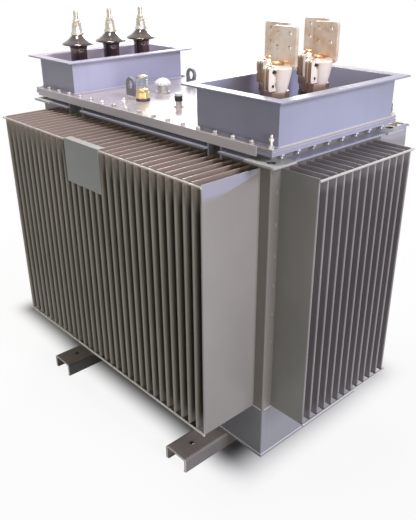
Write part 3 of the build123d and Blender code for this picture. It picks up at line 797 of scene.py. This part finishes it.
rounded_copy("cover_strips", STRIP_EDGE, strip_paint_and_sheen)
rounded_copy("nameplate_bracket", SHEET_EDGE, plate_paint, "plate_metal")

# %% [markdown]
# Porcelain is turned on a wheel, studs are turned on a lathe, and nuts are cut from hexagon bar.
# A subdivided cylinder could be pulled into a turned form, but Spin makes it from one profile
# of radii and heights, which is the way the real one is made.
# A cone with equal ends is a bar, and a short bar with six sides is a nut.
# Rounding takes every sharp edge of a shape, so nuts are made and rounded apart and then poured in.

# %% Turned bodies, bars and nuts
def turned(shape, profile, place, steps=36):
    """Spin a profile of radii and heights about the upright axis through a place."""
    points = [shape.verts.new(Vector(place) + Vector((radius, 0, height))) for radius, height in profile]
    lines = [shape.edges.new(pair) for pair in zip(points, points[1:])]
    lathe = {"cent": place, "axis": (0, 0, 1), "angle": math.tau, "steps": steps, "use_merge": True}
    bmesh.ops.spin(shape, geom=points + lines, **lathe)
    bmesh.ops.remove_doubles(shape, verts=shape.verts, dist=1e-6)


def threaded(radius, low, high, pitch):
    """The zigzag profile of a threaded stud with a bevelled tip."""
    root = radius * 0.93
    profile = [(0.0, low), (radius, low)]
    for index in range(int((high - low) / pitch) - 1):
        level = low + index * pitch
        profile += [(radius, level + 0.2 * pitch), (root, level + 0.7 * pitch)]
    return profile + [(radius * 0.90, high - pitch), (radius * 0.68, high), (0.0, high)]


def rise(height):
    return Vector((0, 0, height))


def bar(shape, start, end, radius, sides, turn=0):
    """A bar between two points, turned about its length by so many degrees."""
    run = Vector(end) - Vector(start)
    aim = run.to_track_quat("Z", "Y").to_matrix().to_4x4()
    stand = Matrix.Translation(Vector(start) + run / 2) @ aim @ Matrix.Rotation(math.radians(turn), 4, "Z")
    ends = {"radius1": radius, "radius2": radius, "depth": run.length, "cap_ends": True}
    bmesh.ops.create_cone(shape, segments=sides, matrix=stand, **ends)


def hexagon(shape, place, across, height, turn, axis=(0, 0, 1)):
    """A hexagon bar with its foot at a place, measured across its flats."""
    bar(shape, place, place + Vector(axis) * height, across / math.sqrt(3), sides=6, turn=turn)


def pour(part, shape):
    """Add a part to a shape and let the part go."""
    mesh = bpy.data.meshes.new("part")
    part.to_mesh(mesh)
    part.free()
    shape.from_mesh(mesh)
    bpy.data.meshes.remove(mesh)


print("turning functions ready")

# %% [markdown]
# A high-voltage bushing has a foot, a long neck and one wide umbrella that keeps rain off the neck.
# A metal cap, two nuts and a threaded stud stand on it. Three objects could share one mesh,
# but a piece's place belongs in its mesh, so all three are spun where they stand.

# %% High-voltage bushings
HV_BUSHINGS = [f"hv_bushing_{number}" for number in (1, 2, 3)]
HV_TERMINALS = [f"hv_terminal_{number}" for number in (1, 2, 3)]
BUSHING = [
    (0.0, 0.0), (0.059, 0.0), (0.059, 0.018), (0.055, 0.022), (0.046, 0.023), (0.044, 0.028), (0.044, 0.196),
    (0.047, 0.207), (0.058, 0.213), (0.074, 0.2155), (0.08, 0.2162), (0.083, 0.2185), (0.0828, 0.2225),
    (0.0795, 0.2262), (0.07, 0.231), (0.0585, 0.2375), (0.0475, 0.245), (0.039, 0.253), (0.0325, 0.26),
    (0.028, 0.264), (0.0, 0.264),
]
CAP = [
    (0.0, 0.264), (0.0305, 0.264), (0.032, 0.2655), (0.032, 0.2735), (0.0308, 0.2755), (0.028, 0.28),
    (0.0262, 0.286), (0.0252, 0.296), (0.025, 0.305), (0.0235, 0.308), (0.0, 0.308),
]
LARGE_NUT_FOOT = 0.308
LARGE_NUT = {"across": 0.041, "height": 0.016, "turn": 20}
LOCK_NUT_FOOT = 0.326
LOCK_NUT = {"across": 0.033, "height": 0.014, "turn": 47}
NUT_EDGE = 0.0015
bushings = bmesh.new()
caps = bmesh.new()
hv_stud = threaded(radius=0.012, low=0.324, high=0.384, pitch=0.005)
for node in HV_BUSHINGS:
    foot = foot_of(node)
    turned(bushings, BUSHING, foot, steps=48)
    turned(caps, CAP, foot, steps=32)
    turned(caps, hv_stud, foot, steps=20)
    nuts = bmesh.new()
    hexagon(nuts, foot + rise(LARGE_NUT_FOOT), **LARGE_NUT)
    hexagon(nuts, foot + rise(LOCK_NUT_FOOT), **LOCK_NUT)
    soften(nuts, NUT_EDGE)
    pour(nuts, caps)
make_piece(bushings, "hv_bushings_turned", brown_porcelain, "brown_porcelain", *HV_BUSHINGS)
make_piece(caps, "hv_terminals_turned", terminal_metal, "terminal_metal", *HV_TERMINALS)

# %% [markdown]
# The low-voltage bushings are short porcelain bodies with one round shed, hidden in their box
# up to the metal. A thick brass washer and a large hexagon nut sit on each,
# and the clamp is screwed on above. The washer and the porcelain are one solid in the frame.
# That solid could be cut in two, but it is as easy to spin two pieces that share its place.

# %% Low-voltage bushings and nuts
LV_BUSHINGS = [f"lv_bushing_{number}" for number in (1, 2, 3, 4)]
LV_CLAMPS = [f"lv_clamp_{number}" for number in (1, 2, 3, 4)]
LV_STEPS = 40
LV_BODY = [
    (0.0, 0.0), (0.046, 0.0), (0.046, 0.042), (0.050, 0.050), (0.056, 0.054), (0.059, 0.058), (0.059, 0.064),
    (0.056, 0.068), (0.049, 0.071), (0.045, 0.076), (0.044, 0.097), (0.040, 0.104), (0.0, 0.104),
]
LV_WASHER = [
    (0.0, 0.104), (0.040, 0.104), (0.042, 0.106), (0.042, 0.124), (0.040, 0.126), (0.0, 0.126),
]
BRASS_NUT_EDGE = 0.0025
CLAMP_EDGE = 0.0014
lv_feet = [foot_of(node) for node in LV_BUSHINGS]
lv_bodies = bmesh.new()
lv_metal = bmesh.new()
for foot in lv_feet:
    turned(lv_bodies, LV_BODY, foot, LV_STEPS)
    turned(lv_metal, LV_WASHER, foot, LV_STEPS)
make_piece(lv_bodies, "lv_bushings_turned", lv_porcelain, "lv_porcelain", *LV_BUSHINGS)
make_piece(lv_metal, "lv_washers", brass, "brass")
rounded_copy("lv_nuts", BRASS_NUT_EDGE, brass, "brass")
for node in LV_CLAMPS:
    rounded_copy(node, CLAMP_EDGE, tinned_brass, "tinned_brass")

# %% [markdown]
# Two bolts draw the ears of each clamp together across the slot. Their heads sit in the outer ear
# and their nuts stand out on the inner one. A bolt could be one spun profile,
# but its nut has flats, so each is a bar with a washer and a hexagon.
# The threaded studs that the clamps grip show in the middle.

# %% Pinch bolts of the clamps
ACROSS_EARS = Vector((1, 0, 0))
EAR_SETBACK = 0.049
EAR_MIDDLE = 0.006
EAR_HALF = 0.0165
HEAD_SUNK = 0.003
HEAD_DEPTH = 0.010
HEAD_RADIUS = 0.0052
HEAD_EDGE = 0.0012
SHANK_OUT = 0.020
SHANK_RADIUS = 0.005
WASHER_THICK = 0.0025
WASHER_RADIUS = 0.0125
PINCH_NUT = {"across": 0.019, "height": 0.010, "turn": 12, "axis": (-1, 0, 0)}
PINCH_LEVELS = (0.183, 0.235)
pinch = bmesh.new()
heads = bmesh.new()
stud_tops = bmesh.new()
lv_stud = threaded(radius=0.024, low=0.250, high=0.270, pitch=0.004)
for foot in lv_feet:
    for level in PINCH_LEVELS:
        outer = foot + Vector((EAR_MIDDLE + EAR_HALF - HEAD_SUNK, -EAR_SETBACK, level))
        inner = foot + Vector((EAR_MIDDLE - EAR_HALF, -EAR_SETBACK, level))
        under_head = outer - HEAD_DEPTH * ACROSS_EARS
        under_nut = inner - WASHER_THICK * ACROSS_EARS
        bar(heads, under_head, outer, HEAD_RADIUS, sides=12)
        bar(pinch, inner - SHANK_OUT * ACROSS_EARS, under_head, SHANK_RADIUS, sides=10)
        bar(pinch, under_nut, inner, WASHER_RADIUS, sides=20)
        hexagon(pinch, under_nut, **PINCH_NUT)
    turned(stud_tops, lv_stud, foot, steps=28)
soften(heads, HEAD_EDGE)
make_piece(stud_tops, "lv_stud_tops", stud_brass, "brass")
make_piece(pinch, "pinch_bolts", bolt_zinc, "terminal_metal")
make_piece(heads, "pinch_heads", dark_steel_and_bore_shade, "fitting_steel")

# %% [markdown]
# The cover is bolted down all round. Along the long sides hexagon heads stand on their washers,
# and under the two ends, where the boxes leave no room above, the nuts and stud tips hang below the flange.
# A particle system could scatter them, but they stand at an even pitch,
# so one bolt is modelled with a soft edge and copied along its row. Every copy has only a few dozen faces.

# %% Cover bolts
BOLT_INSET = 0.019
FIRST_BOLT = -0.773
FIRST_HUNG = -0.322
COVER_BOLT = {
    "head": {"across": 0.020, "height": 0.008, "turn": 11},
    "head_foot": 0.003,
    "washer": (0, 0.003, 0.0125),
    "tip": (0.010, 0.013, 0.0055),
    "count": 16,
    "step": (0.100, 0, 0),
}
HUNG_NUT = {
    "head": {"across": 0.020, "height": 0.010, "turn": 11, "axis": (0, 0, -1)},
    "head_foot": -0.0025,
    "washer": (-0.0025, 0, 0.0145),
    "tip": (-0.021, -0.012, 0.0052),
    "count": 8,
    "step": (0, 0.092, 0),
}
cover_low, cover_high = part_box("cover")
cover_top = cover_high[2]
flange_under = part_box("tank_flange")[0][2]


def bolt_row(shape, place, head, head_foot, washer, tip, count, step):
    """A row of bolts; washer and tip are round bars, given by two levels and a radius."""
    row = bmesh.new()
    hexagon(row, place + rise(head_foot), **head)
    soften(row, NUT_EDGE, segments=1)
    for (low, high, radius), sides in ((washer, 16), (tip, 10)):
        bar(row, place + rise(low), place + rise(high), radius, sides)
    repeat(row, count, step)
    pour(row, shape)


bolts = bmesh.new()
for side in (-1, 1):
    bolt_row(bolts, Vector((FIRST_BOLT, side * (cover_high[1] - BOLT_INSET), cover_top)), **COVER_BOLT)
make_piece(bolts, "cover_bolts", cover_zinc, "fitting_steel")
hung = bmesh.new()
for x in (cover_high[0] - BOLT_INSET, cover_low[0] + BOLT_INSET):
    bolt_row(hung, Vector((x, FIRST_HUNG, flange_under)), **HUNG_NUT)
make_piece(hung, "flange_nuts", hung_zinc, "fitting_steel")

# %% [markdown]
# Three longer studs stand on the cover: one at each low-voltage corner and one part of the way
# along the front. They are earthing and guide studs with two nuts each,
# bright because nobody paints a thread. A Screw modifier could wind a true thread,
# but at this size rings look the same and spin in one step.

# %% Tall studs
STUD_PLACES = ((0.832, -0.388), (0.832, 0.388), (-0.089, -0.380))
LOWER_NUT = {"across": 0.018, "height": 0.010, "turn": 2.25}
UPPER_NUT = {"across": 0.018, "height": 0.009, "turn": 27.0}
UPPER_NUT_FOOT = 0.030
tall_stud = threaded(radius=0.0056, low=0.0, high=0.052, pitch=0.003)
studs = bmesh.new()
for x, y in STUD_PLACES:
    foot = Vector((x, y, cover_top))
    on_washer = foot + rise(WASHER_THICK)
    turned(studs, tall_stud, foot, steps=14)
    hexagon(studs, on_washer, **LOWER_NUT)
    hexagon(studs, foot + rise(UPPER_NUT_FOOT), **UPPER_NUT)
    bar(studs, foot, on_washer, WASHER_RADIUS, sides=16)
make_piece(studs, "cover_studs", cover_zinc, "fitting_steel")

# %% [markdown]
# The oil gauge is a sight glass between a brass body and a thin cap, on a dark gasket.
# Its body has wrench flats, which a spin can't give, so it starts as a six-sided cone
# with a turned collar above. The gasket and the cap are plain spun rings.

# %% Oil gauge
FLATS = {"segments": 6, "radius1": 0.0355, "radius2": 0.0330, "depth": 0.030, "cap_ends": True}
FLATS_MIDDLE = 0.027
FLATS_TURN = 0.35
FLATS_EDGE = 0.003
COLLAR = [(0.0, 0.042), (0.0285, 0.042), (0.0295, 0.044), (0.0295, 0.054), (0.028, 0.056), (0.0, 0.056)]
GASKET = [(0.0, 0.0), (0.033, 0.0), (0.034, 0.002), (0.034, 0.010), (0.032, 0.012), (0.0, 0.012)]
GAUGE_CAP = [
    (0.0, 0.108), (0.026, 0.108), (0.028, 0.110), (0.028, 0.116), (0.025, 0.1185), (0.012, 0.121),
    (0.0, 0.121),
]
gauge_foot = foot_of("oil_gauge_body")
gauge = bmesh.new()
stand = Matrix.Translation(gauge_foot + rise(FLATS_MIDDLE)) @ Matrix.Rotation(FLATS_TURN, 4, "Z")
bmesh.ops.create_cone(gauge, matrix=stand, **FLATS)
soften(gauge, FLATS_EDGE)
turned(gauge, COLLAR, gauge_foot)
make_piece(gauge, "gauge_body_turned", gauge_brass, "gauge_brass", "oil_gauge_body")
gasket_ring = bmesh.new()
turned(gasket_ring, GASKET, gauge_foot)
make_piece(gasket_ring, "gauge_gasket", gasket_rubber, "gasket_rubber")
gauge_cap = bmesh.new()
turned(gauge_cap, GAUGE_CAP, gauge_foot)
make_piece(gauge_cap, "gauge_cap_turned", cap_brass, "terminal_metal", "oil_gauge_cap")

# %% [markdown]
# The filler has a white moulded cap with finger flutes round its edge, on a short neck.
# A Boolean could cut the flutes. Here the dome is spun, and every fourth point of its rim
# is drawn in a little, which leaves a clean mesh.

# %% Filler cap
DOME = [
    (0.0, 0.0), (0.038, 0.0), (0.041, 0.002), (0.041, 0.010), (0.0385, 0.015), (0.033, 0.0215),
    (0.026, 0.0265), (0.017, 0.0305), (0.008, 0.0332), (0.0, 0.0340),
]
DOME_STEPS = 48
FLUTE_EVERY = 4
FLUTE_SCALE = 0.91
RIM_FROM = 0.037
filler_foot = foot_of("filler_cap")
filler = bmesh.new()
turned(filler, DOME, filler_foot, DOME_STEPS)
flutes = []
for vert in filler.verts:
    reach = (vert.co - filler_foot).xy
    number = round(math.atan2(*reach) / math.tau * DOME_STEPS)
    if reach.length > RIM_FROM and number % FLUTE_EVERY == 0:
        flutes.append(vert)
about_foot = Matrix.Translation(-filler_foot)
bmesh.ops.scale(filler, vec=(FLUTE_SCALE, FLUTE_SCALE, 1), space=about_foot, verts=flutes)
make_piece(filler, "filler_cap_fluted", white_plastic, "white_plastic", "filler_cap")

# %% [markdown]
# The relief valve wears a black cap with a pale button on top, over a plated neck.
# Two primitives could stand in for them, but spun profiles give both their rounded rims.

# %% Relief valve
RELIEF_CAP = [(0.0, 0.0), (0.0175, 0.0), (0.019, 0.0015), (0.019, 0.0235), (0.0175, 0.025), (0.0, 0.025)]
BUTTON = [
    (0.0, 0.025), (0.0175, 0.025), (0.0180, 0.0265), (0.0180, 0.034), (0.016, 0.037), (0.010, 0.038),
    (0.0, 0.038),
]
RELIEF_STEPS = 32
relief_foot = foot_of("relief_cap")
relief = bmesh.new()
turned(relief, RELIEF_CAP, relief_foot, RELIEF_STEPS)
make_piece(relief, "relief_cap_turned", black_plastic, "black_plastic", "relief_cap")
button = bmesh.new()
turned(button, BUTTON, relief_foot, RELIEF_STEPS)
make_piece(button, "relief_button", white_plastic, "white_plastic")

# %% [markdown]
# Plates are joined by fillet welds: a thin rounded bead runs along each joint.
# A curve with a round bevel could draw it, but a slim bar half sunk in the joint is a mesh at once.
# Its ripples are left to the bump of the weld's finish.

# %% Weld beads
BEAD_SIDES = 8
BOX_BEAD = 0.0042
LUG_BEAD = 0.0035
TANK_BEAD = 0.004
SEAM_BEAD = 0.0035
SEAM_LEVEL = 0.342
SEAM_SHORT = 0.01
BOX_FLANGE = Vector((0.045, 0.045, 0))
beads = bmesh.new()


def bead_round(low, high, radius):
    """A bead round the foot of an upright box."""
    corners = [(low[0], low[1]), (high[0], low[1]), (high[0], high[1]), (low[0], high[1])]
    for first, second in zip(corners, corners[1:] + corners[:1]):
        bar(beads, (*first, low[2]), (*second, low[2]), radius, BEAD_SIDES)


for node in ("hv_box", "lv_box"):
    low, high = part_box(node)
    bead_round(low + BOX_FLANGE, high - BOX_FLANGE, BOX_BEAD)
for node in LUGS:
    bead_round(*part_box(node), LUG_BEAD)
tank_low, tank_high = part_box("tank_body")
bead_round(tank_low, tank_high, TANK_BEAD)
for y in (-tank_high[1], tank_high[1]):
    start = (tank_low[0] + SEAM_SHORT, y, SEAM_LEVEL)
    bar(beads, start, (tank_high[0] - SEAM_SHORT, y, SEAM_LEVEL), SEAM_BEAD, BEAD_SIDES)
for x in (tank_low[0], tank_high[0]):
    start = (x, tank_low[1] + SEAM_SHORT, SEAM_LEVEL)
    bar(beads, start, (x, tank_high[1] - SEAM_SHORT, SEAM_LEVEL), SEAM_BEAD, BEAD_SIDES)
make_piece(beads, "weld_beads", weld_paint, "tank_paint")

# %% [markdown]
# Beside the end fins the sheet is held to the tank by short stitches, one above the other.
# A dashed texture could hint at them, but they stand proud and catch the light, so each is a short bar.

# %% Stitch welds
STITCH_COUNT = 8
STITCH_FIRST = 0.42
STITCH_PITCH = 0.135
STITCH_LENGTH = 0.016
STITCH_RADIUS = 0.003
STITCH_LINE = 0.321
stitches = bmesh.new()
for x in (tank_low[0], tank_high[0]):
    for y in (-STITCH_LINE, STITCH_LINE):
        for index in range(STITCH_COUNT):
            level = STITCH_FIRST + index * STITCH_PITCH
            bar(stitches, (x, y, level), (x, y, level + STITCH_LENGTH), STITCH_RADIUS, BEAD_SIDES)
make_piece(stitches, "stitch_welds", side_paint, "tank_paint")
